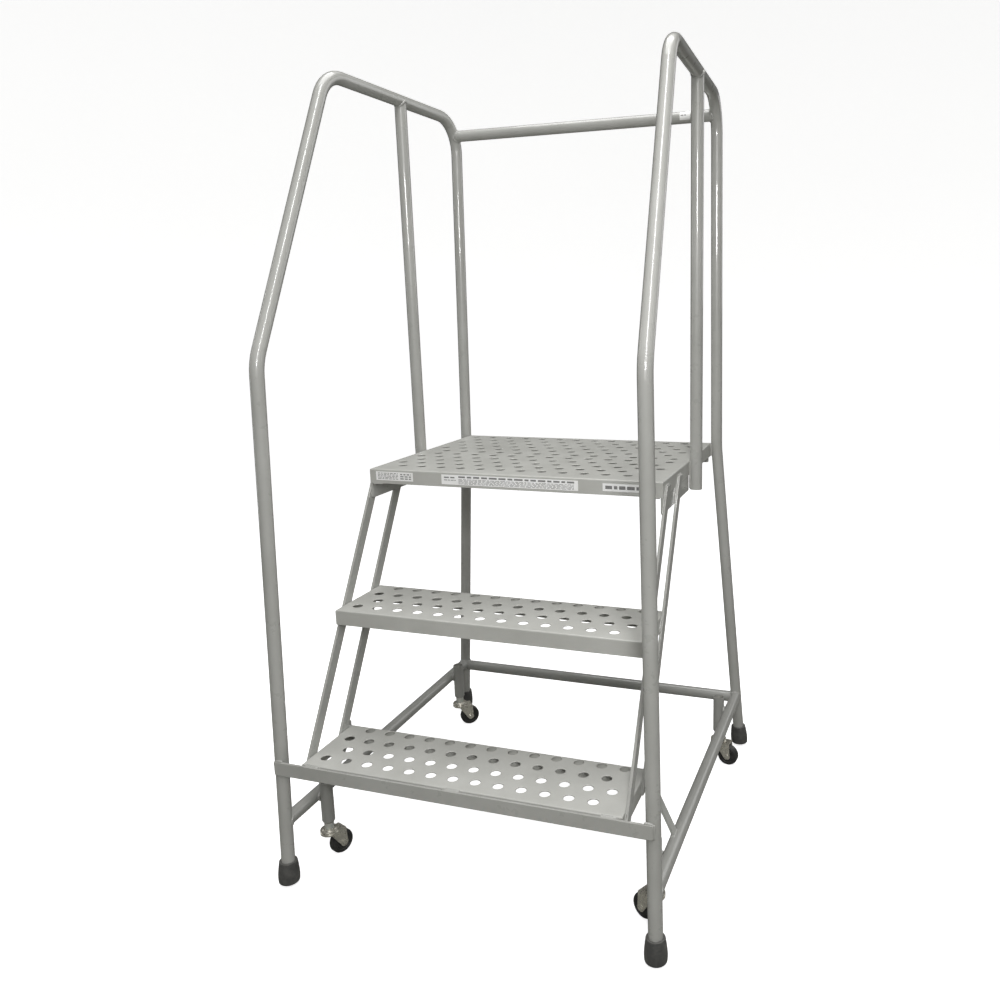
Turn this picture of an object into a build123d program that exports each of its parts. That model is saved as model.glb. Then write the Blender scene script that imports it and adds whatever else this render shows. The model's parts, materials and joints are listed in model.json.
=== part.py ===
"""Three-step rolling warehouse ladder on spring-loaded swivel casters, in millimetres.

Frame: +X is the climber's right, +Y points from the climbing side to the rear guard, +Z is up.
The origin is on the floor, in the middle of the base.
The ladder is unloaded: its casters carry it and hold the rubber tips a few millimetres off the floor.
"""

from build123d import *
import os
from math import cos, radians, sin

os.makedirs("parts", exist_ok=True)

# Tube and bar stock
TUBE_R = 12.7
TUBE_WALL = 1.65
BAR_THICKNESS = 4.8
STRINGER_WIDTH = 22.2
FRONT_BAR_HEIGHT = 25.4
FRONT_BAR_LENGTH = 729.0
FRONT_BAR_END_RADIUS = 3.0
PAD_PLACES = [-287.0, 0.0, 287.0]
PAD_LENGTH = 30.0
PAD_HEIGHT = 5.5
SHEET = 2.0

# Heights
TIP_LIFT = 8.0
RISER = 252.0
BOTTOM_STEP_Z = 263.0
MIDDLE_STEP_Z = BOTTOM_STEP_Z + RISER
PLATFORM_Z = MIDDLE_STEP_Z + RISER
TOP_RAIL_Z = 1526.5
BACK_RAIL_Z = 1490.5
BASE_RAIL_Z = 133.0
CROSS_TUBE_Z = 128.0
MID_POST_FOOT_Z = 706.0

# Corners of the bent tube that makes each side, X given for the right-hand side
FRONT_FOOT = Vector(364.6, -388.7, TIP_LIFT)
GRIP_BEND = Vector(349.4, -368.75, 1002.0)
FRONT_TOP = Vector(333.0, -127.75, TOP_RAIL_Z)
REAR_TOP = Vector(317.0, 370.25, TOP_RAIL_Z)
DECK_BEND = Vector(322.85, 359.25, 760.0)
REAR_FOOT = Vector(379.8, 388.7, TIP_LIFT)
SIDE_BEND_RADII = [110.0, 76.0, 76.0, 250.0]
TUBE_END_HEIGHT = 6.0
MID_POST_Y = 128.75

# Steps and platform
STEP_HALF_WIDTH = 310.0
FLANGE = 30.0
LIP = 18.0
STEP_DEPTH = 160.0
BOTTOM_STEP_FRONT = -391.5
MIDDLE_STEP_FRONT = -255.5
PLATFORM_DEPTH = 464.0
PLATFORM_FRONT = -104.35
HOLE_R = 9.5
STEP_HOLE_PITCH = 44.1
DECK_HOLE_PITCH = 44.5
HOLES_PER_ROW = 13
HOLE_SHIFT_X = -4.5
STEP_ROWS = [32.0, 70.5, 109.0, 147.5]
FRONT_DECK_ROWS = [47.0, 86.0, 125.0, 164.0, 203.0]
REAR_DECK_ROWS = [240.0, 280.0, 320.0, 360.0, 400.0, 440.0]

# Stringers: depth gained per millimetre of height, and where their centre lines pass the middle step
STRINGER_RAKE = 0.5745
FRONT_STRINGER_Y = -211.5
REAR_STRINGER_Y = -110.0
STRINGER_FOOT_Z = 238.0
STRINGER_HEAD_Z = 755.0

# Gussets, cross members and step braces
GUSSET_FRONT_INSET = 0.5
GUSSET_REAR_Y = 114.6
CROSS_MEMBER_Y = {"middle": 117.15, "rear": 336.9}
CROSS_MEMBER_DEPTH = 40.0
BRACE_WIDTH = 19.0
BRACE_Y = -234.0
BRACE_HEAD_Z = 268.0
BRACE_BEND_Z = 238.0

# Rubber tips: radius at some distances along the leg, measured from its end on the floor side
TIP_SECTIONS = [(-4.0, 18.6), (13.0, 20.2), (29.0, 19.0), (44.0, 16.9)]
TIP_SOCKET_LENGTH = 60.0

# Blank labels on the platform's front edge: centre x, centre z, width, height
LABELS = [(-253.0, 753.0, 85.0, 18.0), (-1.0, 752.0, 290.0, 20.0), (236.0, 752.0, 86.0, 15.0)]

# Casters
FRONT_CASTER_Y = -291.0
REAR_CASTER_Y = 292.5
HOUSING_RAIL_GAP = 0.05
WHEEL_R = 24.0
WHEEL_WIDTH = 18.0
TRAIL = 24.5
SWIVEL_ANGLES = {"front_left": 70.0, "front_right": 152.0, "rear_left": 42.0, "rear_right": -8.0}
HOUSING_BOTTOM_Z = 79.5
HOUSING_TOP_Z = 167.0
SPRING_SEAT_Z = 150.0
SLEEVE_BOTTOM_Z = 65.5
SLEEVE_TOP_Z = 110.0
SLEEVE_R = 9.5
SLEEVE_CLEARANCE = 0.08
STEM_R = 5.5
STEM_TOP_Z = 158.0
RACE_R = 18.3
FORK_PLATE_Z = 54.0
FORK_GAP = 22.0
FORK_LENGTH = 30.0
AXLE_R = 4.0
AXLE_CLEARANCE = 0.06

SIDES = {"left": -1, "right": 1}


def save(part, name):
    """Label a finished piece and write it to its own STEP file."""
    part.label = name
    export_step(part, f"parts/{name}.step")


def on_side(point, side):
    """Move a right-hand point to the chosen side."""
    return Vector(side * point.X, point.Y, point.Z)


def between(start, end, height):
    """Point on the line from start to end at the given height."""
    share = (height - start.Z) / (end.Z - start.Z)
    return start + (end - start) * share


def front_leg_at(height, side):
    return on_side(between(FRONT_FOOT, GRIP_BEND, height), side)


def rear_leg_at(height, side):
    return on_side(between(REAR_FOOT, DECK_BEND, height), side)


def base_rail_x(y):
    """Where the right-hand base rail's centre line stands at a given depth."""
    front = front_leg_at(BASE_RAIL_Z, 1)
    rear = rear_leg_at(BASE_RAIL_Z, 1)
    return front.X + (rear.X - front.X) * (y - front.Y) / (rear.Y - front.Y)


def rod(start, end, radius=TUBE_R):
    """Solid round bar, used as a cutter that copes one tube onto another."""
    axis = end - start
    with BuildPart() as bar:
        with BuildSketch(Plane(origin=start, z_dir=axis.normalized())):
            Circle(radius)
        extrude(amount=axis.length)
    return bar.part


def coped_tube(start, end, cutters):
    """Straight round tube whose ends are cut to sit on other tubes."""
    axis = end - start
    with BuildPart() as tube:
        with BuildSketch(Plane(origin=start, z_dir=axis.normalized())):
            Circle(TUBE_R)
            Circle(TUBE_R - TUBE_WALL, mode=Mode.SUBTRACT)
        extrude(amount=axis.length)
        for cutter in cutters:
            add(cutter, mode=Mode.SUBTRACT)
    return tube.part


def side_route(side):
    """Corners of the bent side tube, from its front foot to its rear foot."""
    return [
        front_leg_at(TIP_LIFT + TUBE_END_HEIGHT, side),
        on_side(GRIP_BEND, side),
        on_side(FRONT_TOP, side),
        on_side(REAR_TOP, side),
        on_side(DECK_BEND, side),
        rear_leg_at(TIP_LIFT + TUBE_END_HEIGHT, side),
    ]


def side_tube(side, hollow=True):
    """Front leg, handrail, top rail, rear post and rear leg, bent from one length of tube."""
    with BuildPart() as tube:
        with BuildLine() as path:
            FilletPolyline(*side_route(side), radius=SIDE_BEND_RADII)
        with BuildSketch(Plane(origin=path.line @ 0, z_dir=path.line % 0)):
            Circle(TUBE_R)
            if hollow:
                Circle(TUBE_R - TUBE_WALL, mode=Mode.SUBTRACT)
        sweep()
    return tube.part


def mid_post(side):
    """Guard post, coped under the top rail and standing against the platform's side."""
    share = (MID_POST_Y - FRONT_TOP.Y) / (REAR_TOP.Y - FRONT_TOP.Y)
    head = on_side(FRONT_TOP + (REAR_TOP - FRONT_TOP) * share, side)
    foot = Vector(side * (STEP_HALF_WIDTH + TUBE_R + 0.1), MID_POST_Y, MID_POST_FOOT_Z)
    rail = rod(on_side(FRONT_TOP, side), on_side(REAR_TOP, side))
    return coped_tube(foot, head - Vector(0, 0, 2), [rail])


def base_rail(side):
    """Low side rail from the front leg to the rear leg."""
    start = front_leg_at(BASE_RAIL_Z, side)
    end = rear_leg_at(BASE_RAIL_Z, side)
    inset = (end - start).normalized() * 2
    front_leg = rod(on_side(FRONT_FOOT, side), on_side(GRIP_BEND, side))
    rear_leg = rod(on_side(REAR_FOOT, side), on_side(DECK_BEND, side))
    cross = rod(rear_leg_at(CROSS_TUBE_Z, side), rear_leg_at(CROSS_TUBE_Z, -side))
    return coped_tube(start + inset, end - inset, [front_leg, rear_leg, cross])


def rear_cross_tube():
    """Low tube that ties the two rear legs together."""
    inset = Vector(2, 0, 0)
    legs = [rod(on_side(REAR_FOOT, side), on_side(DECK_BEND, side)) for side in SIDES.values()]
    start = rear_leg_at(CROSS_TUBE_Z, -1) + inset
    end = rear_leg_at(CROSS_TUBE_Z, 1) - inset
    return coped_tube(start, end, legs)


def upper_back_rail():
    """Guard rail between the rear posts, just below their top bends."""
    bend = SIDE_BEND_RADII[2]
    rise = BACK_RAIL_Z - (TOP_RAIL_Z - bend)
    y = REAR_TOP.Y - bend + (bend**2 - rise**2) ** 0.5
    half = REAR_TOP.X - 1
    cutters = [side_tube(side, hollow=False) for side in SIDES.values()]
    return coped_tube(Vector(-half, y, BACK_RAIL_Z), Vector(half, y, BACK_RAIL_Z), cutters)


def front_bar():
    """Flat bar across the fronts of the legs, with three welded pads that hold the bottom step."""
    bottom = BOTTOM_STEP_Z - FRONT_BAR_HEIGHT
    rear = front_leg_at(bottom, 1).Y - TUBE_R - 0.05
    pad_depth = BOTTOM_STEP_FRONT - rear
    with BuildPart() as bar:
        with BuildSketch(Plane.XY.offset(bottom)):
            with Locations((0, rear - BAR_THICKNESS / 2)):
                Rectangle(FRONT_BAR_LENGTH, BAR_THICKNESS)
        extrude(amount=FRONT_BAR_HEIGHT)
        fillet(bar.edges().filter_by(Axis.Y), FRONT_BAR_END_RADIUS)
        with BuildSketch(Plane.XY.offset(BOTTOM_STEP_Z - PAD_HEIGHT - 0.5)):
            with Locations(*[(x, rear + pad_depth / 2) for x in PAD_PLACES]):
                Rectangle(PAD_LENGTH, pad_depth)
        extrude(amount=PAD_HEIGHT)
    return bar.part


def hole_places(rows, first_shift, front, pitch):
    """Centres of staggered hole rows, each row half a pitch off the one before."""
    places = []
    shift = first_shift
    for row in rows:
        for index in range(HOLES_PER_ROW):
            x = HOLE_SHIFT_X + (index - (HOLES_PER_ROW - 1) / 2 + shift / 4) * pitch
            places.append((x, front + row))
        shift = -shift
    return places


def perforated_pan(front, depth, top, holes):
    """Folded sheet-metal tread: a perforated top, four flanges and two return lips."""
    bottom = top - FLANGE
    middle = front + depth / 2
    with BuildPart() as pan:
        with BuildSketch(Plane.XY.offset(bottom)):
            with Locations((0, middle)):
                Rectangle(2 * STEP_HALF_WIDTH, depth)
        extrude(amount=FLANGE)
        fillet(pan.faces().sort_by(Axis.Z)[-1].edges(), 3.0)
        offset(amount=-SHEET, openings=pan.faces().sort_by(Axis.Z)[0])
        with BuildSketch(Plane.XY.offset(bottom)):
            with Locations(
                (0, front + SHEET + LIP / 2 - 0.5),
                (0, front + depth - SHEET - LIP / 2 + 0.5),
            ):
                Rectangle(2 * STEP_HALF_WIDTH - 2 * SHEET, LIP + 1)
        extrude(amount=SHEET)
        with BuildSketch(Plane.XY.offset(top)):
            with Locations(*holes):
                Circle(HOLE_R)
        extrude(amount=-2 * SHEET, mode=Mode.SUBTRACT)
        rims = pan.faces().filter_by(Axis.Z).sort_by(Axis.Z)[-1].inner_wires().edges()
        chamfer(rims, 0.7)
    return pan.part


def stringer(side, centre_y):
    """Raked flat bar on the outer faces of the step and platform flanges."""
    width = STRINGER_WIDTH * (1 + STRINGER_RAKE**2) ** 0.5
    foot_y = centre_y + (STRINGER_FOOT_Z - MIDDLE_STEP_Z) * STRINGER_RAKE
    head_y = centre_y + (STRINGER_HEAD_Z - MIDDLE_STEP_Z) * STRINGER_RAKE
    outline = [
        (foot_y - width / 2, STRINGER_FOOT_Z),
        (foot_y + width / 2, STRINGER_FOOT_Z),
        (head_y + width / 2, STRINGER_HEAD_Z),
        (head_y - width / 2, STRINGER_HEAD_Z),
    ]
    with BuildPart() as bar:
        with BuildSketch(Plane.YZ.offset(side * STEP_HALF_WIDTH)):
            with BuildLine():
                Polyline(*outline, close=True)
            make_face()
        extrude(amount=side * BAR_THICKNESS)
        corners = bar.edges().filter_by(Axis.X)
        fillet(corners, 2.0)
    return bar.part


def platform_gusset(side):
    """Flat bar under the platform's side flange, from its front corner back to the mid post."""
    top = PLATFORM_Z - FLANGE
    front = PLATFORM_FRONT + GUSSET_FRONT_INSET
    height = top - MID_POST_FOOT_Z
    length = GUSSET_REAR_Y - front
    with BuildPart() as gusset:
        with BuildSketch(Plane.YZ.offset(side * STEP_HALF_WIDTH)):
            with Locations((front + length / 2, top - height / 2)):
                Rectangle(length, height)
        extrude(amount=-side * BAR_THICKNESS)
        fillet(gusset.edges().filter_by(Axis.X).group_by(Axis.Z)[0], 2.0)
    return gusset.part


def platform_cross_member(y):
    """Flat bar on edge under the platform, between its side flanges."""
    half = STEP_HALF_WIDTH - SHEET
    top = PLATFORM_Z - SHEET
    with BuildPart() as bar:
        with BuildSketch(Plane.XZ.offset(-y - BAR_THICKNESS / 2)):
            with Locations((0, top - CROSS_MEMBER_DEPTH / 2)):
                Rectangle(2 * half, CROSS_MEMBER_DEPTH)
        extrude(amount=BAR_THICKNESS)
        chamfer(bar.edges().filter_by(Axis.Y), 1.2)
    return bar.part


def step_brace(side):
    """Bent strap from the rear stringer's foot down to the base rail."""
    inner = STEP_HALF_WIDTH + BAR_THICKNESS * 1.5
    rail = rod(front_leg_at(BASE_RAIL_Z, side), rear_leg_at(BASE_RAIL_Z, side))
    with BuildPart() as strap:
        with BuildSketch(Plane.XZ.offset(-BRACE_Y - BRACE_WIDTH / 2)):
            with BuildLine():
                Polyline(
                    (side * inner, BRACE_HEAD_Z),
                    (side * inner, BRACE_BEND_Z),
                    (side * base_rail_x(BRACE_Y), BASE_RAIL_Z + 4),
                )
            trace(line_width=BAR_THICKNESS)
        extrude(amount=BRACE_WIDTH)
        add(rail, mode=Mode.SUBTRACT)
    return strap.part


def rubber_tip(foot, towards):
    """Barrel-shaped boot on the end of a leg, with a flat base parallel to the floor."""
    axis = (towards - foot).normalized()
    socket = foot + axis * (TUBE_END_HEIGHT / axis.Z)
    with BuildPart() as tip:
        for distance, radius in TIP_SECTIONS:
            with BuildSketch(Plane(origin=foot + axis * distance, z_dir=axis)):
                Circle(radius)
        loft()
        fillet(tip.edges().sort_by(Axis.Z)[-1], 1.2)
        add(rod(socket, socket + axis * TIP_SOCKET_LENGTH), mode=Mode.SUBTRACT)
        with BuildSketch(Plane.XY.offset(TIP_LIFT)):
            with Locations((foot.X, foot.Y)):
                Rectangle(80, 80)
        extrude(amount=-20, mode=Mode.SUBTRACT)
        fillet(tip.faces().sort_by(Axis.Z)[0].outer_wire().edges(), 4.0)
    return tip.part


def revolved(x, y, profile):
    """Turned piece about a vertical axis through (x, y), from (radius, height) points."""
    with BuildPart() as piece:
        with BuildSketch(Plane(origin=(x, y, 0), x_dir=(1, 0, 0), z_dir=(0, -1, 0))):
            with BuildLine():
                Polyline(*profile, close=True)
            make_face()
        revolve(axis=Axis((x, y, 0), (0, 0, 1)))
    return piece.part


def caster_place(corner):
    """Centre of a caster, with its housing standing against the inner side of the base rail."""
    y = FRONT_CASTER_Y if corner.startswith("front") else REAR_CASTER_Y
    rail = rear_leg_at(BASE_RAIL_Z, 1) - front_leg_at(BASE_RAIL_Z, 1)
    x = base_rail_x(y) - (2 * TUBE_R + HOUSING_RAIL_GAP) * rail.length / rail.Y
    return (-x, y) if corner.endswith("left") else (x, y)


def caster_housing(x, y):
    """Upright tube welded inside the base rail, necked at its foot, with a spring seat inside."""
    bore = TUBE_R - TUBE_WALL
    neck = SLEEVE_R + SLEEVE_CLEARANCE
    profile = [
        (neck, HOUSING_BOTTOM_Z),
        (TUBE_R - 2.0, HOUSING_BOTTOM_Z),
        (TUBE_R, HOUSING_BOTTOM_Z + 3.5),
        (TUBE_R, HOUSING_TOP_Z),
        (bore, HOUSING_TOP_Z),
        (bore, SPRING_SEAT_Z + 2),
        (STEM_R + 0.3, SPRING_SEAT_Z + 2),
        (STEM_R + 0.3, SPRING_SEAT_Z),
        (bore, SPRING_SEAT_Z),
        (bore, HOUSING_BOTTOM_Z + 5),
        (neck, HOUSING_BOTTOM_Z + 4),
    ]
    return revolved(x, y, profile)


def caster_sleeve(x, y):
    """Bushing around the stem that slides in the neck of the housing and carries the spring."""
    profile = [
        (STEM_R, SLEEVE_BOTTOM_Z),
        (SLEEVE_R, SLEEVE_BOTTOM_Z),
        (SLEEVE_R, SLEEVE_TOP_Z),
        (STEM_R, SLEEVE_TOP_Z),
    ]
    return revolved(x, y, profile)


def caster_stem(x, y):
    """King pin with a riveted foot and a hexagon nut that stops it on the spring seat."""
    with BuildPart() as stem:
        with BuildSketch(Plane.XY.offset(FORK_PLATE_Z - 0.6)):
            with Locations((x, y)):
                Circle(STEM_R)
        extrude(amount=STEM_TOP_Z - FORK_PLATE_Z + 0.6)
        with BuildSketch(Plane.XY.offset(SPRING_SEAT_Z + 2)):
            with Locations((x, y)):
                RegularPolygon(9.0, 6)
        extrude(amount=5)
        chamfer(stem.faces().sort_by(Axis.Z)[-1].edges(), 0.8)
    return stem.part


def caster_spring(x, y):
    """Compression spring between the sleeve and the spring seat."""
    wire = 1.0
    coil = 8.2
    start = SLEEVE_TOP_Z + wire + 0.1
    height = SPRING_SEAT_Z - SLEEVE_TOP_Z - 2 * wire - 0.2
    with BuildPart() as spring:
        with BuildLine() as path:
            Helix(pitch=height / 6, height=height, radius=coil, center=(x, y, start))
        with BuildSketch(Plane(origin=path.line @ 0, z_dir=path.line % 0)):
            Circle(wire)
        sweep(is_frenet=True)
    return spring.part


def caster_top_race(x, y):
    """Dished plate fixed to the stem; the swivelling fork turns under it."""
    profile = [
        (STEM_R, SLEEVE_BOTTOM_Z - 2.5),
        (RACE_R - 7.0, SLEEVE_BOTTOM_Z - 2.5),
        (RACE_R - 4.5, SLEEVE_BOTTOM_Z - 5.9),
        (RACE_R - 1.4, SLEEVE_BOTTOM_Z - 5.9),
        (RACE_R, SLEEVE_BOTTOM_Z - 4.5),
        (RACE_R - 0.7, SLEEVE_BOTTOM_Z - 2.8),
        (RACE_R - 3.5, SLEEVE_BOTTOM_Z - 2.2),
        (RACE_R - 6.0, SLEEVE_BOTTOM_Z),
        (STEM_R, SLEEVE_BOTTOM_Z),
    ]
    return revolved(x, y, profile)


def caster_fork(x, y, angle):
    """Pressed yoke: a round raceway plate and two tapered legs that hold the axle."""
    swivel = Plane(origin=(x, y, 0), x_dir=(cos(radians(angle)), sin(radians(angle)), 0), z_dir=(0, 0, 1))
    leg_plane = Plane(origin=swivel.origin, x_dir=swivel.x_dir, z_dir=-swivel.y_dir)
    half = FORK_GAP / 2 + SHEET
    rim = [
        (RACE_R - 7.0, FORK_PLATE_Z + 1.5),
        (RACE_R - 4.6, FORK_PLATE_Z + 5.1),
        (RACE_R - 1.6, FORK_PLATE_Z + 5.1),
        (RACE_R, FORK_PLATE_Z + 3.6),
        (RACE_R, FORK_PLATE_Z + 0.4),
        (RACE_R - 7.0, FORK_PLATE_Z + 0.2),
    ]
    tail = -6.0
    with BuildPart() as fork:
        with BuildSketch(swivel.offset(FORK_PLATE_Z)):
            Circle(RACE_R - 0.5)
            with BuildLine():
                Polyline((tail, -half), (FORK_LENGTH, -half), (FORK_LENGTH, half), (tail, half), close=True)
            make_face()
        extrude(amount=SHEET)
        for edge in (-half, half - SHEET):
            with BuildSketch(leg_plane.offset(-edge - SHEET)):
                with BuildLine():
                    Polyline(
                        (tail, FORK_PLATE_Z + 1),
                        (FORK_LENGTH, FORK_PLATE_Z + 1),
                        (TRAIL + 7.6, WHEEL_R - 2),
                        (TRAIL - 6.5, WHEEL_R - 4.5),
                        close=True,
                    )
                make_face()
                with Locations((TRAIL, WHEEL_R)):
                    Circle(8.0)
            extrude(amount=SHEET)
        add(revolved(x, y, rim))
        with BuildSketch(swivel.offset(FORK_PLATE_Z - 1)):
            Circle(STEM_R + 0.08)
        extrude(amount=6, mode=Mode.SUBTRACT)
        with BuildSketch(leg_plane.offset(-half - 5)):
            with Locations((TRAIL, WHEEL_R)):
                Circle(AXLE_R)
        extrude(amount=2 * half + 10, mode=Mode.SUBTRACT)
    return fork.part


def turned_on_axle(x, y, angle, profile):
    """Turned piece about a caster's axle, from (radius, distance along the axle) points."""
    direction = Vector(cos(radians(angle)), sin(radians(angle)), 0)
    centre = Vector(x, y, WHEEL_R) + direction * TRAIL
    along = Vector(-direction.Y, direction.X, 0)
    with BuildPart() as piece:
        with BuildSketch(Plane(origin=centre, x_dir=direction, z_dir=direction.cross(along))):
            with BuildLine():
                Polyline(*profile, close=True)
            make_face()
        revolve(axis=Axis(centre, along))
    return piece.part


def caster_axle(x, y, angle):
    """Rivet through the fork legs, with a head at each end."""
    half = FORK_GAP / 2 + SHEET
    profile = [
        (0, -half - 2.2),
        (3.4, -half - 2.2),
        (6.0, -half - 0.9),
        (6.0, -half),
        (AXLE_R, -half),
        (AXLE_R, half),
        (6.0, half),
        (6.0, half + 0.9),
        (3.4, half + 2.2),
        (0, half + 2.2),
    ]
    return turned_on_axle(x, y, angle, profile)


def caster_wheel(x, y, angle):
    """Solid rubber wheel with a raised hub and a dished side."""
    half = WHEEL_WIDTH / 2
    right = [
        (AXLE_R + AXLE_CLEARANCE, half + 1.2),
        (8.0, half + 1.2),
        (8.6, half - 1.5),
        (15.6, half - 1.5),
        (16.8, half),
        (WHEEL_R - 4.0, half),
        (WHEEL_R - 1.2, half - 1.6),
        (WHEEL_R, half - 4.2),
    ]
    profile = [*right, *[(radius, -along) for radius, along in reversed(right)]]
    return turned_on_axle(x, y, angle, profile)


def sticker(plates, face_y):
    """Thin blank labels on a face that looks towards the climber."""
    with BuildPart() as labels:
        for x, z, width, height in plates:
            with BuildSketch(Plane.XZ.offset(-face_y)):
                with Locations((x, z)):
                    Rectangle(width, height)
            extrude(amount=0.3)
    return labels.part


for side_name, sign in SIDES.items():
    save(side_tube(sign), f"{side_name}_side_tube")
    save(mid_post(sign), f"{side_name}_mid_post")
    save(base_rail(sign), f"{side_name}_base_rail")
    save(stringer(sign, FRONT_STRINGER_Y), f"{side_name}_front_stringer")
    save(stringer(sign, REAR_STRINGER_Y), f"{side_name}_rear_stringer")
    save(platform_gusset(sign), f"{side_name}_platform_gusset")
    save(step_brace(sign), f"{side_name}_step_brace")
    save(rubber_tip(on_side(FRONT_FOOT, sign), on_side(GRIP_BEND, sign)), f"rubber_tip_front_{side_name}")
    save(rubber_tip(on_side(REAR_FOOT, sign), on_side(DECK_BEND, sign)), f"rubber_tip_rear_{side_name}")

save(upper_back_rail(), "upper_back_rail")
save(rear_cross_tube(), "rear_cross_tube")
save(front_bar(), "front_bar")

steps = {"bottom_step": (BOTTOM_STEP_FRONT, BOTTOM_STEP_Z), "middle_step": (MIDDLE_STEP_FRONT, MIDDLE_STEP_Z)}
for step_name, (step_front, step_top) in steps.items():
    step_holes = hole_places(STEP_ROWS, -1, step_front, STEP_HOLE_PITCH)
    save(perforated_pan(step_front, STEP_DEPTH, step_top, step_holes), step_name)

deck_holes = []
for deck_rows in (FRONT_DECK_ROWS, REAR_DECK_ROWS):
    deck_holes += hole_places(deck_rows, 1, PLATFORM_FRONT, DECK_HOLE_PITCH)
save(perforated_pan(PLATFORM_FRONT, PLATFORM_DEPTH, PLATFORM_Z, deck_holes), "platform")

for place, member_y in CROSS_MEMBER_Y.items():
    save(platform_cross_member(member_y), f"platform_cross_member_{place}")
save(sticker(LABELS, PLATFORM_FRONT), "platform_labels")

for corner, swivel_angle in SWIVEL_ANGLES.items():
    caster_x, caster_y = caster_place(corner)
    save(caster_housing(caster_x, caster_y), f"caster_housing_{corner}")
    save(caster_sleeve(caster_x, caster_y), f"caster_sleeve_{corner}")
    save(caster_stem(caster_x, caster_y), f"caster_stem_{corner}")
    save(caster_spring(caster_x, caster_y), f"caster_spring_{corner}")
    save(caster_top_race(caster_x, caster_y), f"caster_top_race_{corner}")
    save(caster_fork(caster_x, caster_y, swivel_angle), f"caster_fork_{corner}")
    save(caster_axle(caster_x, caster_y, swivel_angle), f"caster_axle_{corner}")
    save(caster_wheel(caster_x, caster_y, swivel_angle), f"caster_wheel_{corner}")
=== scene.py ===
"""Looks for the rolling warehouse ladder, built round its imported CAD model. Everything is in metres."""

import json
import math
import random

import bpy
from mathutils import Matrix, Vector
from mathutils.bvhtree import BVHTree


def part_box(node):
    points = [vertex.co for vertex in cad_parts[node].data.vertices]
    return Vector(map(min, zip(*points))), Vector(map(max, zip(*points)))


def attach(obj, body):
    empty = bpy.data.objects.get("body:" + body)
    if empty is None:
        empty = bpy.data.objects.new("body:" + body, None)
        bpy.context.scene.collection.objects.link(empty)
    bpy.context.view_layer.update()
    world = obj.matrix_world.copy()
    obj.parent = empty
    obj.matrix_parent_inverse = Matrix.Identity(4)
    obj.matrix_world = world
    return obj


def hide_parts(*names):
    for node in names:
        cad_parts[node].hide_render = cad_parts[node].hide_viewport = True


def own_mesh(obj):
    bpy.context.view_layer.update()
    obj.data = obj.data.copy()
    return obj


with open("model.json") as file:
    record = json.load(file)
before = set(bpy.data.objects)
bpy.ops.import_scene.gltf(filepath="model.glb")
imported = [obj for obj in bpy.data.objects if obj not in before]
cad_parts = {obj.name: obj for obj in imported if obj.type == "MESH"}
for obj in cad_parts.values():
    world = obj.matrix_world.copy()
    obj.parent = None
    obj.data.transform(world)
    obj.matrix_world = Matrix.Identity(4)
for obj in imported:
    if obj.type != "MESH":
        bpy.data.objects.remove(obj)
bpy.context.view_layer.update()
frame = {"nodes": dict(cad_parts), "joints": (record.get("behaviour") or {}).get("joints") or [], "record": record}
SIDES = {"left": -1, "right": 1}
TUBE_R = 0.0127


# ---------------------------------------------------------------- camera

CAMERA_AT = Vector((0.6930, -1.6339, 1.0945))
CAMERA_YAW = 18.02
CAMERA_PITCH = -10.67
CAMERA_ROLL = -1.05
CAMERA_LENS = 31.44
CAMERA_SHIFT = (-0.1035, -0.0334)


def make_camera():
    """A camera at the photo's viewing angle."""
    yaw, pitch, roll = (math.radians(a) for a in (CAMERA_YAW, CAMERA_PITCH, CAMERA_ROLL))
    ahead = Vector((-math.sin(yaw) * math.cos(pitch), math.cos(yaw) * math.cos(pitch), math.sin(pitch)))
    level = Vector((math.cos(yaw), math.sin(yaw), 0))
    upward = level.cross(ahead)
    right = level * math.cos(roll) + upward * math.sin(roll)
    up = upward * math.cos(roll) - level * math.sin(roll)
    data = bpy.data.cameras.new("camera")
    data.lens = CAMERA_LENS
    data.sensor_width = 36
    data.shift_x, data.shift_y = CAMERA_SHIFT
    camera = bpy.data.objects.new("camera", data)
    camera.matrix_world = Matrix.Translation(CAMERA_AT) @ Matrix((right, up, -ahead)).transposed().to_4x4()
    bpy.context.scene.collection.objects.link(camera)
    bpy.context.scene.camera = camera


# ---------------------------------------------------------------- materials


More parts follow.
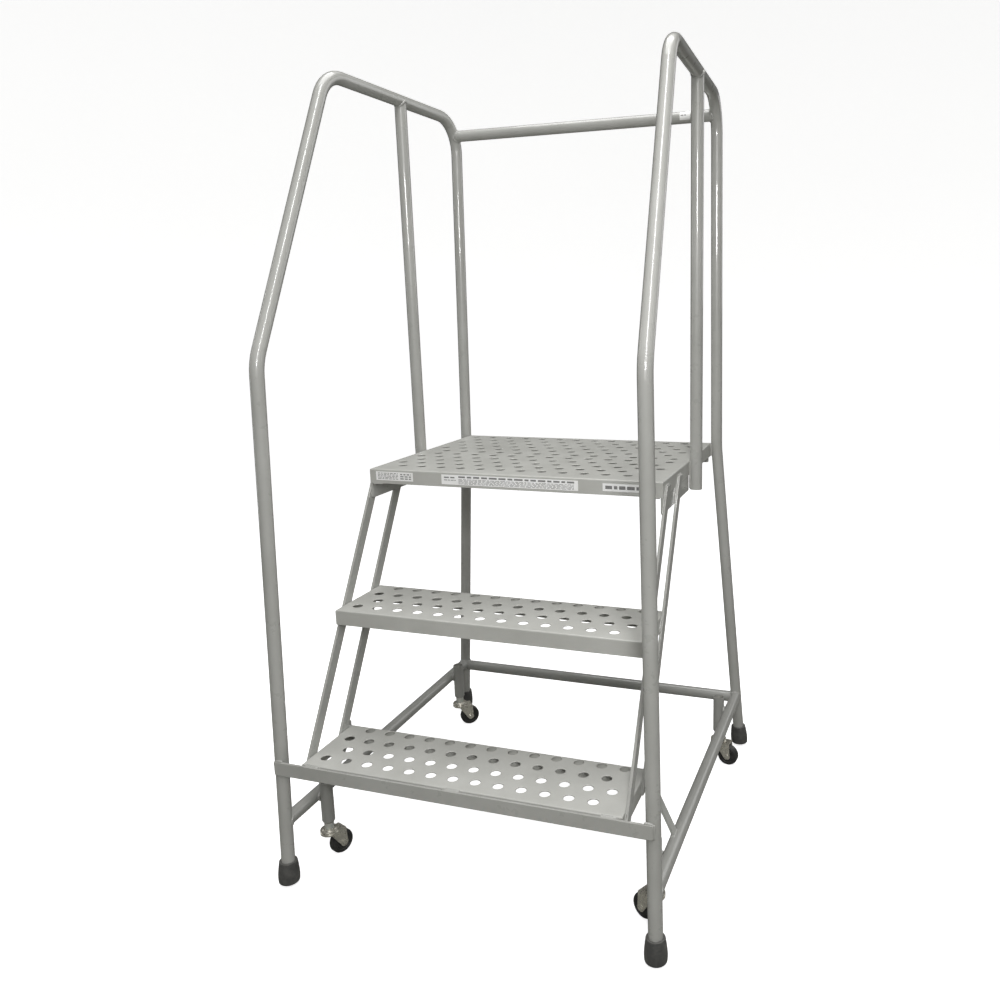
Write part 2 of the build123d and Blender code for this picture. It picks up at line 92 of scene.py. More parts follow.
class Graph:
    """Short calls for building one material's node tree."""

    def __init__(self, name):
        self.material = bpy.data.materials.new(name)
        self.material.use_nodes = True
        self.tree = self.material.node_tree
        self.shader = self.tree.nodes["Principled BSDF"]
        self.bevel = None
        self.place = self.node("ShaderNodeTexCoord").outputs["Object"]

    def node(self, kind, **inputs):
        made = self.tree.nodes.new(kind)
        for name, value in inputs.items():
            self.feed(made.inputs[name.replace("_", " ")], value)
        return made

    def feed(self, socket, value):
        if isinstance(value, bpy.types.NodeSocket):
            self.tree.links.new(value, socket)
        else:
            socket.default_value = value

    def noise(self, scale, detail=2.0, roughness=0.5, stretch=(1, 1, 1)):
        mapping = self.node("ShaderNodeMapping", Vector=self.place, Scale=stretch)
        made = self.node("ShaderNodeTexNoise", Vector=mapping.outputs[0], Scale=scale, Detail=detail)
        made.inputs["Roughness"].default_value = roughness
        return made.outputs[0]

    def between(self, value, low, high, from_low=0.0, from_high=1.0):
        made = self.node("ShaderNodeMapRange", Value=value)
        made.inputs["From Min"].default_value = from_low
        made.inputs["From Max"].default_value = from_high
        made.inputs["To Min"].default_value = low
        made.inputs["To Max"].default_value = high
        return made.outputs[0]

    def math(self, operation, a, b):
        made = self.tree.nodes.new("ShaderNodeMath")
        made.operation = operation
        self.feed(made.inputs[0], a)
        self.feed(made.inputs[1], b)
        return made.outputs[0]

    def mix(self, share, a, b):
        made = self.tree.nodes.new("ShaderNodeMix")
        made.data_type = "RGBA"
        self.feed(made.inputs["Factor"], share)
        self.feed(made.inputs[6], a if isinstance(a, bpy.types.NodeSocket) else (*a, 1))
        self.feed(made.inputs[7], b if isinstance(b, bpy.types.NodeSocket) else (*b, 1))
        return made.outputs[2]

    def bump(self, height, strength, distance, normal=None):
        made = self.node("ShaderNodeBump", Height=height, Strength=strength, Distance=distance)
        if normal is not None:
            self.feed(made.inputs["Normal"], normal)
        return made.outputs[0]

    def rounded(self, radius):
        if self.bevel is None:
            made = self.node("ShaderNodeBevel", Radius=radius)
            made.samples = 4
            self.bevel = made.outputs[0]
        return self.bevel

    def edges(self, radius, low=0.02, high=0.25):
        """1 on convex or concave edges within radius, 0 on open faces."""
        bevel = self.rounded(radius)
        plain = self.node("ShaderNodeNewGeometry").outputs["Normal"]
        dot = self.tree.nodes.new("ShaderNodeVectorMath")
        dot.operation = "DOT_PRODUCT"
        self.feed(dot.inputs[0], bevel)
        self.feed(dot.inputs[1], plain)
        return self.between(self.math("SUBTRACT", 1.0, dot.outputs["Value"]), 0.0, 1.0, low, high)

    def set(self, **values):
        for name, value in values.items():
            socket = self.shader.inputs[name.replace("_", " ")]
            if isinstance(value, tuple) and len(value) == 3:
                value = (*value, 1)
            self.feed(socket, value)
        return self.material


def enamel(name, tone=1.0, wear=0.25, rough=0.30):
    """Grey stove enamel: cloudy tone, orange peel, fine specks and lighter rubbed edges."""
    g = Graph(name)
    base = tuple(c * tone for c in (0.385, 0.385, 0.362))
    pale = tuple(c * tone for c in (0.44, 0.44, 0.418))
    dusty = tuple(c * tone for c in (0.32, 0.318, 0.292))
    cloud = g.between(g.noise(7.0, 4.0, 0.6), 0.0, 1.0, 0.35, 0.68)
    speck = g.between(g.noise(900.0, 2.0, 0.7), 0.0, 1.0, 0.62, 0.75)
    colour = g.mix(cloud, base, pale)
    colour = g.mix(g.math("MULTIPLY", speck, 0.35), colour, dusty)
    edge = g.math("MULTIPLY", g.edges(0.0012), g.between(g.noise(60.0, 3.0, 0.6), 0.2, 1.0, 0.35, 0.6))
    colour = g.mix(g.math("MULTIPLY", edge, wear), colour, tuple(c * 1.5 for c in pale))
    peel = g.math("ADD", g.noise(420.0, 2.0, 0.5), g.math("MULTIPLY", g.noise(120.0, 1.0, 0.5), 0.6))
    roughness = g.between(g.noise(35.0, 4.0, 0.65), rough - 0.06, rough + 0.10, 0.3, 0.7)
    return g.set(
        Base_Color=colour,
        Roughness=roughness,
        Normal=g.bump(peel, 0.10, 0.0004, g.rounded(0.0009)),
        Coat_Weight=0.8,
        Coat_Roughness=0.055,
        Specular_IOR_Level=0.5,
    )


def tread_enamel(name):
    """The same enamel where shoes go, in lighter tones that are painted light on the up-facing steps and platform;
    duller, with faint scuffs across the tread.
    """
    g = Graph(name)
    cloud = g.between(g.noise(9.0, 5.0, 0.6), 0.0, 1.0, 0.35, 0.68)
    # These base tones are lighter than the frame enamel: painted light for the tops of the steps and platform. The
    # scuffs below are real wear.
    colour = g.mix(cloud, (0.44, 0.44, 0.412), (0.50, 0.50, 0.472))
    scuff = g.between(g.noise(70.0, 6.0, 0.75, (0.18, 1.0, 1.0)), 0.0, 1.0, 0.56, 0.74)
    colour = g.mix(g.math("MULTIPLY", scuff, 0.30), colour, (0.53, 0.53, 0.51))
    speck = g.between(g.noise(1100.0, 2.0, 0.7), 0.0, 1.0, 0.60, 0.74)
    colour = g.mix(g.math("MULTIPLY", speck, 0.40), colour, (0.29, 0.288, 0.265))
    edge = g.math("MULTIPLY", g.edges(0.0012), g.between(g.noise(50.0, 3.0, 0.6), 0.3, 1.0, 0.35, 0.6))
    colour = g.mix(g.math("MULTIPLY", edge, 0.45), colour, (0.66, 0.66, 0.64))
    peel = g.math("ADD", g.noise(420.0, 2.0, 0.5), g.math("MULTIPLY", scuff, 0.5))
    return g.set(
        Base_Color=colour,
        Roughness=g.between(g.noise(30.0, 4.0, 0.65), 0.34, 0.54, 0.3, 0.7),
        Normal=g.bump(peel, 0.12, 0.0004, g.rounded(0.0009)),
        Coat_Weight=0.15,
        Coat_Roughness=0.25,
        Specular_IOR_Level=0.45,
    )


def zinc(name, tint=(0.82, 0.79, 0.70), rough=0.28):
    """Bright zinc plate over pressed steel, with the yellow cast and stains it gets in use."""
    g = Graph(name)
    stain = g.between(g.noise(140.0, 5.0, 0.65), 0.0, 1.0, 0.42, 0.72)
    colour = g.mix(g.math("MULTIPLY", stain, 0.6), tint, tuple(c * 0.55 for c in tint))
    edge = g.edges(0.0010)
    colour = g.mix(g.math("MULTIPLY", edge, 0.5), colour, (0.85, 0.83, 0.78))
    drawn = g.noise(600.0, 3.0, 0.6, (1.0, 1.0, 0.25))
    return g.set(
        Base_Color=colour,
        Metallic=0.75,
        Roughness=g.between(g.noise(220.0, 4.0, 0.6), rough - 0.08, rough + 0.16, 0.3, 0.7),
        Normal=g.bump(drawn, 0.12, 0.0002, g.rounded(0.0007)),
        Specular_IOR_Level=0.5,
    )


def rubber(name, tone, rough, grit, scuffing):
    """Black rubber with a fine moulded grain, grey bloom and scuffs, and painted top light: a lighter grey on
    faces that point up.
    """
    g = Graph(name)
    bloom = g.between(g.noise(55.0, 5.0, 0.65), 0.0, 1.0, 0.40, 0.72)
    black, bloomed = (tone, tone, tone * 0.97), (tone * 2.4, tone * 2.35, tone * 2.2)
    colour = g.mix(g.math("MULTIPLY", bloom, 0.55), black, bloomed)
    scuff = g.between(g.noise(260.0, 5.0, 0.75), 0.0, 1.0, 0.60, 0.72)
    colour = g.mix(g.math("MULTIPLY", scuff, scuffing), colour, (0.16, 0.158, 0.15))
    # Faces that point up are mixed towards a lighter grey: painted top light, a painted highlight on the tops of
    # the tips and wheels.
    split = g.node("ShaderNodeSeparateXYZ", Vector=g.node("ShaderNodeNewGeometry").outputs["Normal"])
    painted_top_light = g.between(split.outputs["Z"], 0.0, 0.22, 0.55, 0.95)
    colour = g.mix(painted_top_light, colour, (0.26, 0.255, 0.235))
    grain = g.math("ADD", g.noise(1500.0, 2.0, 0.6), g.math("MULTIPLY", g.noise(300.0, 3.0, 0.6), 0.8))
    return g.set(
        Base_Color=colour,
        Roughness=g.between(g.noise(90.0, 4.0, 0.6), rough - 0.10, rough + 0.14, 0.3, 0.7),
        Normal=g.bump(grain, grit, 0.0004, g.rounded(0.0010)),
        Specular_IOR_Level=0.4,
    )


def nylon(name):
    """Pale grey moulded bushing, dulled by grease."""
    g = Graph(name)
    grease = g.between(g.noise(120.0, 4.0, 0.6, (1, 1, 0.4)), 0.0, 1.0, 0.40, 0.70)
    colour = g.mix(g.math("MULTIPLY", grease, 0.5), (0.56, 0.56, 0.52), (0.36, 0.35, 0.31))
    return g.set(
        Base_Color=colour,
        Roughness=g.between(grease, 0.50, 0.30),
        Normal=g.bump(g.noise(700.0, 2.0, 0.5), 0.10, 0.0002),
        Subsurface_Weight=0.05,
    )


def film(name, white=0.94):
    """Printed vinyl film, faintly yellowed and creased."""
    g = Graph(name)
    age = g.between(g.noise(40.0, 4.0, 0.6), 0.0, 1.0, 0.35, 0.70)
    fresh, yellowed = (white, white, white), (white * 0.88, white * 0.87, white * 0.83)
    colour = g.mix(g.math("MULTIPLY", age, 0.5), fresh, yellowed)
    return g.set(
        Base_Color=colour,
        Roughness=g.between(g.noise(150.0, 3.0, 0.5), 0.28, 0.42),
        Normal=g.bump(g.noise(90.0, 3.0, 0.5), 0.08, 0.0002),
        Coat_Weight=0.2,
        Coat_Roughness=0.2,
    )


def ink(name):
    """Worn grey printing on the labels."""
    g = Graph(name)
    worn = g.between(g.noise(900.0, 3.0, 0.7), 0.0, 1.0, 0.40, 0.70)
    colour = g.mix(g.math("MULTIPLY", worn, 0.5), (0.17, 0.17, 0.17), (0.45, 0.45, 0.44))
    return g.set(Base_Color=colour, Roughness=g.between(worn, 0.35, 0.55))


# ---------------------------------------------------------------- mesh helpers


def mesh_piece(name, points, faces, material, smooth=True):
    """A new object from points and faces, in the scene and with its material."""
    mesh = bpy.data.meshes.new(name)
    mesh.from_pydata([tuple(p) for p in points], [], faces)
    mesh.update()
    if smooth:
        mesh.polygons.foreach_set("use_smooth", [True] * len(mesh.polygons))
    mesh.materials.append(material)
    piece = bpy.data.objects.new(name, mesh)
    bpy.context.scene.collection.objects.link(piece)
    return piece


def surface(*nodes):
    """The CAD surface of some nodes, to shoot rays at."""
    points, faces = [], []
    for node in nodes:
        mesh = frame["nodes"][node].data
        start = len(points)
        points += [v.co.copy() for v in mesh.vertices]
        faces += [[start + i for i in p.vertices] for p in mesh.polygons]
    return BVHTree.FromPolygons(points, faces)


def even_steps(points, step, closed):
    """The same line, with points an even step apart."""
    line = points + [points[0]] if closed else points
    lengths = [0.0]
    for a, b in zip(line, line[1:]):
        lengths.append(lengths[-1] + (b - a).length)
    count = max(4, round(lengths[-1] / step))
    out, k = [], 0
    for i in range(count if closed else count + 1):
        want = lengths[-1] * i / count
        while k < len(lengths) - 2 and lengths[k + 1] < want:
            k += 1
        share = (want - lengths[k]) / max(lengths[k + 1] - lengths[k], 1e-9)
        out.append(line[k].lerp(line[k + 1], min(max(share, 0.0), 1.0)))
    return out


class Beads:
    """Weld beads gathered into one mesh."""

    STEP = 0.0006
    PITCH = 0.0026
    AROUND = 8

    def __init__(self):
        self.points, self.faces = [], []

    def along(self, line, radius, closed=True, ripple=0.10):
        line = even_steps([Vector(p) for p in line], self.STEP, closed)
        count = len(line)
        start = len(self.points)
        side = None
        for i, point in enumerate(line):
            if closed:
                ahead = (line[(i + 1) % count] - line[i - 1]).normalized()
            else:
                ahead = (line[min(i + 1, count - 1)] - line[max(i - 1, 0)]).normalized()
            if side is None:
                side = ahead.orthogonal().normalized()
            side = (side - ahead * side.dot(ahead)).normalized()
            other = ahead.cross(side)
            phase = (i * self.STEP / self.PITCH) % 1.0
            size = radius * (1.0 - ripple + ripple * math.sqrt(1.0 - phase))
            size *= 1.0 + 0.08 * math.sin(i * 0.071) + 0.05 * math.sin(i * 0.193 + 1.0)
            if not closed:
                rest = min(i, count - 1 - i) * self.STEP / radius
                size *= math.sqrt(max(0.05, 1.0 - (1.0 - min(rest, 1.0)) ** 2))
            for k in range(self.AROUND):
                turn = 2 * math.pi * k / self.AROUND
                self.points.append(point + side * (size * math.cos(turn)) + other * (size * math.sin(turn)))
        rings = count if closed else count - 1
        for i in range(rings):
            a, b = start + i * self.AROUND, start + ((i + 1) % count) * self.AROUND
            for k in range(self.AROUND):
                n = (k + 1) % self.AROUND
                self.faces.append((a + k, a + n, b + n, b + k))
        if not closed:
            self.faces.append(tuple(start + k for k in reversed(range(self.AROUND))))
            last = start + (count - 1) * self.AROUND
            self.faces.append(tuple(last + k for k in range(self.AROUND)))

    def straight(self, start, end, radius):
        """Open bead between two points."""
        self.along([start, end], radius, closed=False)

    def upright(self, x, y, low, high, radius):
        """Open bead standing at (x, y)."""
        self.straight(Vector((x, y, low)), Vector((x, y, high)), radius)

    def tube_joint(self, start, toward, target, radius=0.0021, tube=TUBE_R, reach=0.12):
        """Bead where a round tube that runs from start along toward meets the target surface."""
        toward = toward.normalized()
        u = toward.orthogonal().normalized()
        v = toward.cross(u)
        line = []
        for k in range(96):
            turn = 2 * math.pi * k / 96
            out = (u * math.cos(turn) + v * math.sin(turn)) * tube * 0.995
            hit = target.ray_cast(start + out, toward, reach)[0]
            if hit is not None:
                line.append(hit)
        if len(line) > 60:
            self.along(line, radius)

    def piece(self, name, body, material):
        made = mesh_piece(name, self.points, self.faces, material)
        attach(made, body)
        return made


# ---------------------------------------------------------------- materials in use

paint = enamel("grey_enamel")
# A darker copy of the same enamel for the caster housings, base rails and rear cross tube: painted shade for the
# low parts near the floor, with more edge wear and a rougher finish.
paint_painted_shade = enamel("grey_enamel_painted_shade", tone=0.80, wear=0.35, rough=0.34)
tread = tread_enamel("tread_enamel")
zinc_plate = zinc("zinc_plate")
spring_wire = zinc("spring_wire", tint=(0.42, 0.41, 0.38), rough=0.34)
tip_black = rubber("tip_rubber", 0.062, 0.42, 0.45, 0.70)
wheel_black = rubber("wheel_rubber", 0.028, 0.42, 0.18, 0.25)
bush = nylon("grey_nylon")
label_white = film("label_film")
label_ink = ink("label_ink")

SLOT_MATERIALS = {
    "grey_paint": paint,
    "zinc_plate": zinc_plate,
    "spring_steel": spring_wire,
    "grey_nylon": bush,
    "wheel_rubber": wheel_black,
    "tip_rubber": tip_black,
    "label_film": label_white,
}
node_slots = {s["node"]: s["material_slot"] for s in frame["record"]["subparts"]}
for node_name, node_object in frame["nodes"].items():
    chosen = SLOT_MATERIALS[node_slots[node_name]]
    if node_name in ("bottom_step", "middle_step", "platform"):
        chosen = tread
    elif node_name.startswith(("caster_housing", "left_base", "right_base", "rear_cross")):
        # the low parts near the floor take the darker enamel copy, painted shade
        chosen = paint_painted_shade
    node_object.data.materials.clear()
    node_object.data.materials.append(chosen)

make_camera()


# ---------------------------------------------------------------- floor and light


def bowl():
    """A pale floor that turns up into a wall far behind, the same from every side."""
    flat, bend, top, around = 5.0, 2.2, 9.0, 96
    profile = [(0.0, 0.0), (flat * 0.5, 0.0), (flat, 0.0)]
    for k in range(1, 13):
        turn = math.pi / 2 * k / 12
        profile.append((flat + bend * math.sin(turn), bend * (1 - math.cos(turn))))
    profile.append((flat + bend, top))
    points, faces = [Vector((0, 0, 0))], []
    for radius, height in profile[1:]:
        for k in range(around):
            turn = 2 * math.pi * k / around
            points.append(Vector((radius * math.cos(turn), radius * math.sin(turn), height)))
    for k in range(around):
        faces.append((0, 1 + k, 1 + (k + 1) % around))
    for ring in range(len(profile) - 2):
        a, b = 1 + ring * around, 1 + (ring + 1) * around
        for k in range(around):
            n = (k + 1) % around
            faces.append((a + k, b + k, b + n, a + n))
    floor = mesh_piece("floor", points, faces, paper())


def paper():
    """White paper. It lights the ladder as a darker floor would, so its undersides stay dark."""
    g = Graph("floor_paper")
    shade = g.between(g.noise(1.5, 3.0, 0.5), 0.86, 0.89)
    seen = g.set(
        Base_Color=g.mix(shade, (0.0, 0.0, 0.0), (1.0, 1.0, 0.995)),
        Roughness=0.9,
        Specular_IOR_Level=0.1,
        Emission_Color=(1.0, 1.0, 1.0),
        Emission_Strength=0.78,
    )
    dim = g.node("ShaderNodeBsdfDiffuse", Color=(0.30, 0.30, 0.28, 1))
    rays = g.node("ShaderNodeLightPath")
    mixed = g.node("ShaderNodeMixShader")
    g.feed(mixed.inputs[0], rays.outputs["Is Camera Ray"])
    g.feed(mixed.inputs[1], dim.outputs[0])
    g.feed(mixed.inputs[2], g.shader.outputs[0])
    g.feed(g.tree.nodes["Material Output"].inputs["Surface"], mixed.outputs[0])
    return seen


def area_light(name, at, towards, size, power, size_y=None):
    """A soft light that faces a point and isn't itself seen."""
    data = bpy.data.lights.new(name, "AREA")
    data.energy = power
    data.size = size
    if size_y is not None:
        data.shape = "RECTANGLE"
        data.size_y = size_y
    light = bpy.data.objects.new(name, data)
    light.location = at
    light.rotation_mode = "QUATERNION"
    light.rotation_quaternion = (Vector(towards) - Vector(at)).to_track_quat("-Z", "Y")
    light.visible_camera = False
    bpy.context.scene.collection.objects.link(light)


def make_light():
    """A small light by the camera, two thin strips, a broad top light and a soft fill from behind."""
    world = bpy.data.worlds.new("studio")
    world.use_nodes = True
    world.node_tree.nodes["Background"].inputs["Color"].default_value = (1.0, 1.0, 1.0, 1)
    world.node_tree.nodes["Background"].inputs["Strength"].default_value = 0.30
    bpy.context.scene.world = world
    area_light("flash", (0.85, -2.0, 1.55), (0.0, -0.1, 0.7), 0.35, 16.5)
    area_light("strip", (0.8, -1.5, 2.9), (0, -0.2, 1.1), 0.28, 42, 2.4)
    area_light("edge_strip", (-3.0, -0.4, 1.3), (0, 0, 1.0), 0.12, 6, 2.4)
    area_light("top", (0.0, 0.3, 4.6), (0, 0, 0.4), 3.0, 90)
    area_light("back_fill", (2.6, 3.2, 2.2), (0, 0, 0.8), 2.4, 22)


bowl()
make_light()
bpy.context.scene.view_settings.view_transform = "Standard"


# ---------------------------------------------------------------- weld beads


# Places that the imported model's boxes don't give: the stringers' rake and half width, the rails' height,
# the braces' half width and bend, the front bar's thickness and its pads
RAKE = 0.5745
STRINGER_HALF = 0.0128
RAIL_Z = 0.133
BRACE_HALF = 0.0095
BRACE_BEND_Z = 0.238
BAR_THICKNESS = 0.0048
PAD_PLACES = (-0.287, 0.0, 0.287)

# How far before a tube's end the rays that find its weld start, how much of each end gives the centre line's
# end, and the radius of the bead where a housing touches its rail
RUN_UP = 0.08
END_REACH = 0.03
CONTACT_R = 0.0088


def axis_of(node):
    """The ends of a straight tube's centre line, from the two ends of its mesh."""
    points = [v.co for v in frame["nodes"][node].data.vertices]
    lo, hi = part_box(node)
    span = hi - lo
    k = max(range(3), key=lambda i: span[i])
    near = [p for p in points if p[k] < lo[k] + END_REACH]
    far = [p for p in points if p[k] > hi[k] - END_REACH]
    return sum(near, Vector()) / len(near), sum(far, Vector()) / len(far)


def weld_stringers(beads, name, sign):
    """Beads along both edges of each stringer where it lies on a step or on the platform."""
    for row in ("front", "rear"):
        lo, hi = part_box(f"{name}_{row}_stringer")
        middle = (lo + hi) / 2
        face = lo.x if sign > 0 else hi.x
        x = face + sign * 0.0006

        def edge_at(z, edge):
            return Vector((x, middle.y + (z - middle.z) * RAKE + edge * (STRINGER_HALF + 0.0005), z))

        for target in ("bottom_step", "middle_step", "platform"):
            target_lo, target_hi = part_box(target)
            bottom = target_lo.z
            if target == "platform":
                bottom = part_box(f"{name}_platform_gusset")[0].z
            bottom = max(bottom + 0.001, lo.z + 0.002)
            top = min(target_hi.z - 0.0035, hi.z - 0.001)
            for edge in (-1, 1):
                beads.straight(edge_at(bottom, edge), edge_at(top, edge), 0.0017)
        head = hi.z + 0.0004
        beads.straight(edge_at(head, -0.8), edge_at(head, 0.8), 0.0022)


def weld_posts(beads, name, sign):
    """Upright beads where the mid post and the rear post stand against the platform."""
    deck_lo, deck_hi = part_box("platform")
    gusset_lo, gusset_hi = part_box(f"{name}_platform_gusset")
    side = deck_hi.x if sign > 0 else deck_lo.x
    x = side + sign * 0.0015
    post_lo, post_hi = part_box(f"{name}_mid_post")
    y = (post_lo.y + post_hi.y) / 2
    for shift in (-0.0074, 0.0074):
        bottom = gusset_lo.z + 0.002 if shift < 0 else deck_lo.z
        beads.upright(x, y + shift, bottom, deck_hi.z - 0.001, 0.0021)
    rear = deck_hi.y
    low, high = deck_lo.z + 0.0005, deck_hi.z - 0.0015
    beads.upright(x, rear - 0.0078, low, high, 0.0021)
    beads.upright(side + sign * 0.0004, rear + 0.0022, low, high, 0.0021)
    front = deck_lo.y + 0.0014
    under = deck_lo.z - 0.0006
    start = side - sign * 0.006
    beads.straight(Vector((start, front, under)), Vector((start - sign * 0.022, front, under)), 0.0020)


def weld_brace(beads, name, sign):
    """A bead round the strap's foot on the base rail and one behind its head."""
    lo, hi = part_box(f"{name}_step_brace")
    y = (lo.y + hi.y) / 2
    start, end = axis_of(f"{name}_base_rail")
    rail = start.lerp(end, (y - start.y) / (end.y - start.y))
    head_x = hi.x if sign < 0 else lo.x
    slope = Vector((rail.x - head_x - sign * 0.0024, 0, rail.z - BRACE_BEND_Z)).normalized()
    across = Vector((slope.z, 0, -slope.x))
    loop = []
    for u, v in ((-1, -1), (1, -1), (1, 1), (-1, 1)):
        out = (-slope * 0.012 + across * u * 0.0034).normalized() * (TUBE_R + 0.0004)
        loop.append(rail + out + Vector((0, v * (BRACE_HALF + 0.0006), 0)))
    loop_middle = [(a + b) / 2 for a, b in zip(loop, loop[1:] + loop[:1])]
    beads.along([p for pair in zip(loop, loop_middle) for p in pair], 0.0019)
    gap = head_x - sign * 0.0024
    beads.upright(gap, y - 0.002, BRACE_BEND_Z + 0.002, hi.z - 0.004, 0.0027)


def weld_housing(beads, corner, sign):
    """A round bead about the spot where a caster housing touches the base rail."""
    lo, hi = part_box(f"caster_housing_{corner}")
    touch = hi.x if sign > 0 else lo.x
    y = (lo.y + hi.y) / 2
    ring = []
    for k in range(48):
        turn = 2 * math.pi * k / 48
        ring.append(Vector((touch, y + CONTACT_R * math.cos(turn), RAIL_Z + CONTACT_R * math.sin(turn))))
    beads.along(ring, 0.0022)


def weld_front_bar(beads):
    """Beads over the ends of the front bar, and on the pads between it and the bottom step."""
    lo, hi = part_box("front_bar")
    step_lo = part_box("bottom_step")[0]
    back = lo.y + BAR_THICKNESS
    for end in (lo.x, hi.x):
        inward = math.copysign(1.0, -end)
        top, low = hi.z + 0.0006, lo.z - 0.0006
        out = end - inward * 0.0008
        path = [
            (end + inward * 0.016, back - 0.0003, top),
            (end + inward * 0.003, back - 0.0006, top),
            (out, back - 0.0004, top - 0.003),
            (out, back - 0.0004, low + 0.003),
            (end + inward * 0.003, back - 0.0004, low),
            (end + inward * 0.013, back - 0.0001, low),
        ]
        beads.along([Vector(p) for p in path], 0.0023, closed=False)
        beads.along([Vector(p) for p in path[:2]], 0.0029, closed=False)
    seam = (back + step_lo.y) / 2
    for place in PAD_PLACES:
        for y, size in ((back + 0.0006, 0.0016), (seam, 0.0019), (step_lo.y - 0.0003, 0.0015)):
            reach = 0.0148 - abs(y - seam) * 0.6
            z = hi.z - 0.0008
            beads.straight(Vector((place - reach, y, z)), Vector((place + reach, y, z)), size)


def weld_frame():
    """All of the frame's weld beads, as one piece for each side and one for what runs across."""
    for name, sign in SIDES.items():
        beads = Beads()
        side_tube = surface(f"{name}_side_tube")
        front, rear = axis_of(f"{name}_base_rail")
        along = (rear - front).normalized()
        beads.tube_joint(front + along * RUN_UP, -along, side_tube)
        beads.tube_joint(rear - along * RUN_UP, along, side_tube)
        foot, head = axis_of(f"{name}_mid_post")
        up = (head - foot).normalized()
        beads.tube_joint(head - up * RUN_UP, up, side_tube, 0.0024)
        weld_stringers(beads, name, sign)
        weld_posts(beads, name, sign)
        weld_brace(beads, name, sign)
        for end in ("front", "rear"):
            weld_housing(beads, f"{end}_{name}", sign)
        beads.piece(f"welds_{name}", "ladder_frame", paint)

    cross_beads = Beads()
    sides = surface("left_side_tube", "right_side_tube")
    for node in ("rear_cross_tube", "upper_back_rail"):
        a, b = axis_of(node)
        along = (b - a).normalized()
        cross_beads.tube_joint(a + along * RUN_UP, -along, sides, 0.0023)
        cross_beads.tube_joint(b - along * RUN_UP, along, sides, 0.0023)
    weld_front_bar(cross_beads)
    cross_beads.piece("welds_across", "ladder_frame", paint)


weld_frame()


# ---------------------------------------------------------------- labels


INK_THICKNESS = 0.00006
STICKER_THICKNESS = 0.00022


class Patches:
    """Thin raised patches gathered into one mesh."""

    def __init__(self, thick):
        self.thick = thick
        self.points, self.faces = [], []

    def sheet(self, place, columns, rows):
        """A slab over a grid; place(u, v, lift) gives a point for u and v from 0 to 1."""
        start = len(self.points)
        count = (columns + 1) * (rows + 1)
        for lift in (self.thick, 0.0):
            for j in range(rows + 1):
                for i in range(columns + 1):
                    self.points.append(place(i / columns, j / rows, lift))
        width = columns + 1
        for j in range(rows):
            for i in range(columns):
                a = start + j * width + i
                self.faces.append((a, a + 1, a + 1 + width, a + width))
                b = a + count
                self.faces.append((b + width, b + width + 1, b + 1, b))
        rim = list(range(columns))
        rim += [j * width + columns for j in range(rows)]
        rim += [rows * width + i for i in range(columns, 0, -1)]
        rim += [j * width for j in range(rows, 0, -1)]
        for a, b in zip(rim, rim[1:] + rim[:1]):
            self.faces.append((start + a, start + a + count, start + b + count, start + b))

    def piece(self, name, material, slot):
        made = mesh_piece(name, self.points, self.faces, material, smooth=False)
        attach(made, "ladder_frame")


def rows_of_print(x0, x1, top, bottom, count, tall, word):
    """Evenly spaced rows of dashes, as shares of a label's width and height."""
    step = (top - bottom) / max(count - 1, 1)
    return [(x0, x1, top - step * k, tall, word) for k in range(count)]


# For each label, the stretch of X that it lies in, then its rows of dashes:
# from and to, height of the middle and height of the dashes as shares of the label,
# and length of a dash in metres
LABEL_ROWS = [
    (
        (-0.32, -0.18),
        rows_of_print(0.05, 0.60, 0.82, 0.18, 5, 0.07, 0.007)
        + rows_of_print(0.66, 0.95, 0.75, 0.25, 3, 0.13, 0.009),
    ),
    (
        (-0.16, 0.16),
        [(0.13, 0.98, 0.80, 0.17, 0.014), (0.02, 0.11, 0.72, 0.13, 0.010), (0.02, 0.11, 0.45, 0.07, 0.006)]
        + rows_of_print(0.13, 0.97, 0.56, 0.12, 5, 0.045, 0.008),
    ),
    ((0.18, 0.32), [(0.06, 0.94, 0.5, 0.42, 0.012)]),
]


def print_marks():
    """Rows of plain dashes on the three front labels, in place of printing."""
    rng = random.Random(7)
    marks = Patches(INK_THICKNESS)
    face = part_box("platform_labels")[0].y
    verts = [v.co for v in frame["nodes"]["platform_labels"].data.vertices]
    for reach, layout in LABEL_ROWS:
        inside = [v for v in verts if reach[0] < v.x < reach[1]]
        x0, x1 = min(v.x for v in inside), max(v.x for v in inside)
        z0, z1 = min(v.z for v in inside), max(v.z for v in inside)
        for from_x, to_x, at_z, tall, word in layout:
            x = x0 + (x1 - x0) * from_x
            stop = x0 + (x1 - x0) * to_x
            z = z0 + (z1 - z0) * at_z
            high = (z1 - z0) * tall
            while x < stop:
                long = min(word * rng.uniform(0.5, 1.3), stop - x)

                def place(u, v, lift, x=x, z=z, long=long, high=high):
                    return Vector((x + long * u, face - lift, z + high * (v - 0.5)))

                marks.sheet(place, 2, 1)
                x += long + word * 0.28
    marks.piece("label_marks", label_ink, "label_film")


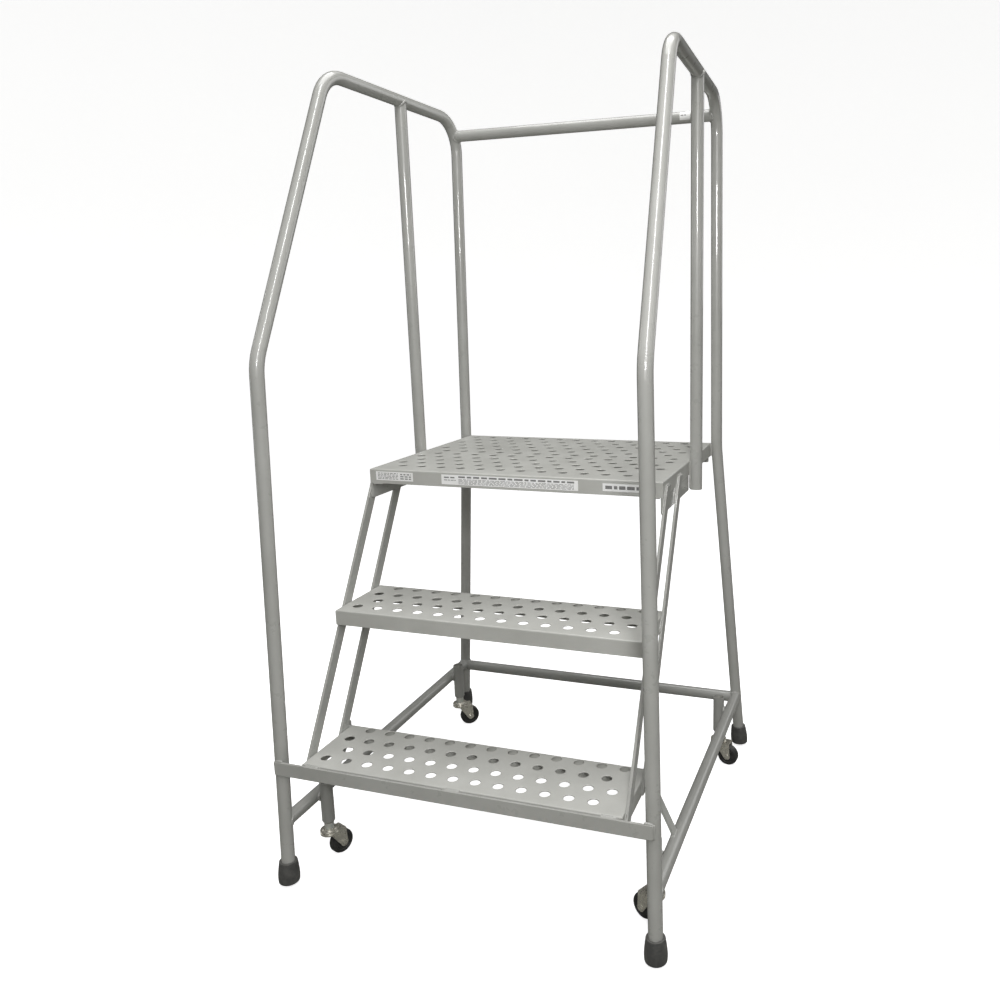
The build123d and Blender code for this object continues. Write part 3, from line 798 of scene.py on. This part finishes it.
def rail_sticker():
    """A small blank sticker wrapped over the front of the upper back rail, with a few faint marks."""
    lo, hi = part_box("upper_back_rail")
    y, z = (lo.y + hi.y) / 2, (lo.z + hi.z) / 2

    def wrap(x0, x1, from_turn, to_turn, base):
        """Places on a band round the rail, between two turns in degrees above straight ahead."""

        def place(u, v, lift):
            turn = math.radians(from_turn + (to_turn - from_turn) * v)
            out = base + lift
            return Vector((x0 + (x1 - x0) * u, y - out * math.cos(turn), z + out * math.sin(turn)))

        return place

    paper_wrap = Patches(STICKER_THICKNESS)
    paper_wrap.sheet(wrap(0.239, 0.262, -32, 100, TUBE_R), 6, 22)
    paper_wrap.piece("rail_sticker", label_white, "label_film")
    marks = Patches(INK_THICKNESS)
    for x0, x1, low, high in ((0.2415, 0.251, 52, 66), (0.2415, 0.2475, 8, 18), (0.249, 0.2535, 8, 18)):
        marks.sheet(wrap(x0, x1, low, high, TUBE_R + STICKER_THICKNESS), 4, 6)
    marks.piece("rail_sticker_marks", label_ink, "label_film")


print_marks()
rail_sticker()


# ---------------------------------------------------------------- caster springs


SPRING_WIRE_R = 0.001
SPRING_TURNS = 7


def coil_spring(corner):
    """A compression spring with closed ends, hanging from its seat."""
    lo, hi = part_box(f"caster_spring_{corner}")
    centre = (lo + hi) / 2
    coil = (hi.x - lo.x) / 2 - SPRING_WIRE_R
    closed = 2.1 * SPRING_WIRE_R
    start, height = lo.z + SPRING_WIRE_R, hi.z - lo.z - 2 * SPRING_WIRE_R
    open_pitch = (height - 2 * closed) / (SPRING_TURNS - 2)
    along, around = 36, 10
    points, faces = [], []
    for i in range(SPRING_TURNS * along + 1):
        turn = i / along
        rise = closed * min(turn, 1) + open_pitch * min(max(turn - 1, 0), SPRING_TURNS - 2)
        rise += closed * max(turn - SPRING_TURNS + 1, 0)
        outward = Vector((math.cos(2 * math.pi * turn), math.sin(2 * math.pi * turn), 0))
        for k in range(around):
            tilt = 2 * math.pi * k / around
            ring = outward * (coil + SPRING_WIRE_R * math.cos(tilt))
            points.append(Vector((centre.x, centre.y, start + rise + SPRING_WIRE_R * math.sin(tilt))) + ring)
    for i in range(SPRING_TURNS * along):
        for k in range(around):
            a, b = i * around + k, i * around + (k + 1) % around
            faces.append((a, a + around, b + around, b))
    last = SPRING_TURNS * along * around
    faces.append(tuple(range(around)))
    faces.append(tuple(reversed(range(last, last + around))))
    spring = mesh_piece(f"spring_{corner}", points, faces, spring_wire)
    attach(spring, "ladder_frame")
    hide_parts(f"caster_spring_{corner}")
    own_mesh(spring)


for joint in frame["joints"]:
    if joint["name"].endswith("_stem_slide"):
        coil_spring(joint["name"].removesuffix("_stem_slide"))
